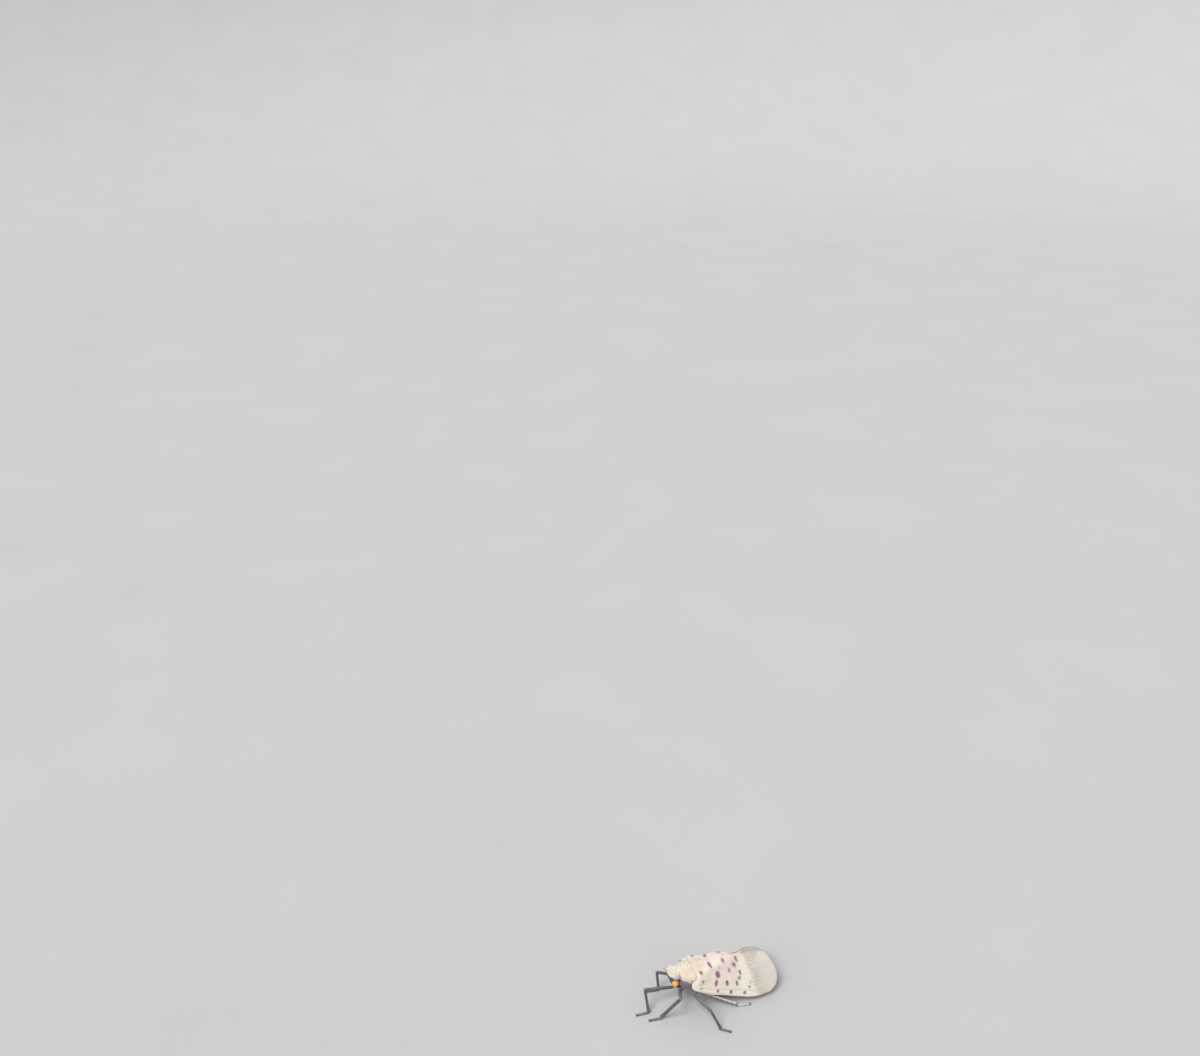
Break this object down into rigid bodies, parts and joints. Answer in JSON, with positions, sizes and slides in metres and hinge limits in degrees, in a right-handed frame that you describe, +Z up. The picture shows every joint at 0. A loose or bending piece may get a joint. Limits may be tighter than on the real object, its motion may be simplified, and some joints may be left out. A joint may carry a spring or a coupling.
{
  "type": "spotted lanternfly adult",
  "caption": "Life-size adult planthopper at rest on its feet, with pale spotted forewings folded like a roof over the body.",
  "frame": {"origin": "on the floor under the middle of the bounding box", "axes": "+Z up, -Y towards the head, +X towards the insect's left side"},
  "size_m": [0.0184, 0.0318, 0.0098],
  "materials": {
    "pale_cuticle": "dull waxy cream",
    "dark_cuticle": "satin blue-black",
    "eye": "glossy dark brown",
    "antenna": "satin orange",
    "forewing": "dull pale membrane with dark spots",
    "hindwing": "dull red membrane with black spots and tip",
    "abdomen": "satin yellow with black bands"
  },
  "bodies": {
    "root": {"head": "pale_cuticle", "pronotum": "pale_cuticle", "thorax": "pale_cuticle", "abdomen": "abdomen", "rostrum": "dark_cuticle", "eye_left": "eye", "eye_right": "eye", "antenna_left": "antenna", "antenna_right": "antenna", "tegula_left": "pale_cuticle", "tegula_right": "pale_cuticle", "forewing_left": "forewing", "forewing_right": "forewing", "hindwing_left": "hindwing", "hindwing_right": "hindwing", "coxa_front_left": "dark_cuticle", "femur_front_left": "dark_cuticle", "tibia_front_left": "dark_cuticle", "tarsus_front_left": "dark_cuticle", "coxa_front_right": "dark_cuticle", "femur_front_right": "dark_cuticle", "tibia_front_right": "dark_cuticle", "tarsus_front_right": "dark_cuticle", "coxa_middle_left": "dark_cuticle", "femur_middle_left": "dark_cuticle", "tibia_middle_left": "dark_cuticle", "tarsus_middle_left": "dark_cuticle", "coxa_middle_right": "dark_cuticle", "femur_middle_right": "dark_cuticle", "tibia_middle_right": "dark_cuticle", "tarsus_middle_right": "dark_cuticle", "coxa_hind_left": "dark_cuticle", "femur_hind_left": "dark_cuticle", "tibia_hind_left": "dark_cuticle", "tarsus_hind_left": "dark_cuticle", "coxa_hind_right": "dark_cuticle", "femur_hind_right": "dark_cuticle", "tibia_hind_right": "dark_cuticle", "tarsus_hind_right": "dark_cuticle"}
  },
  "joints": []
}
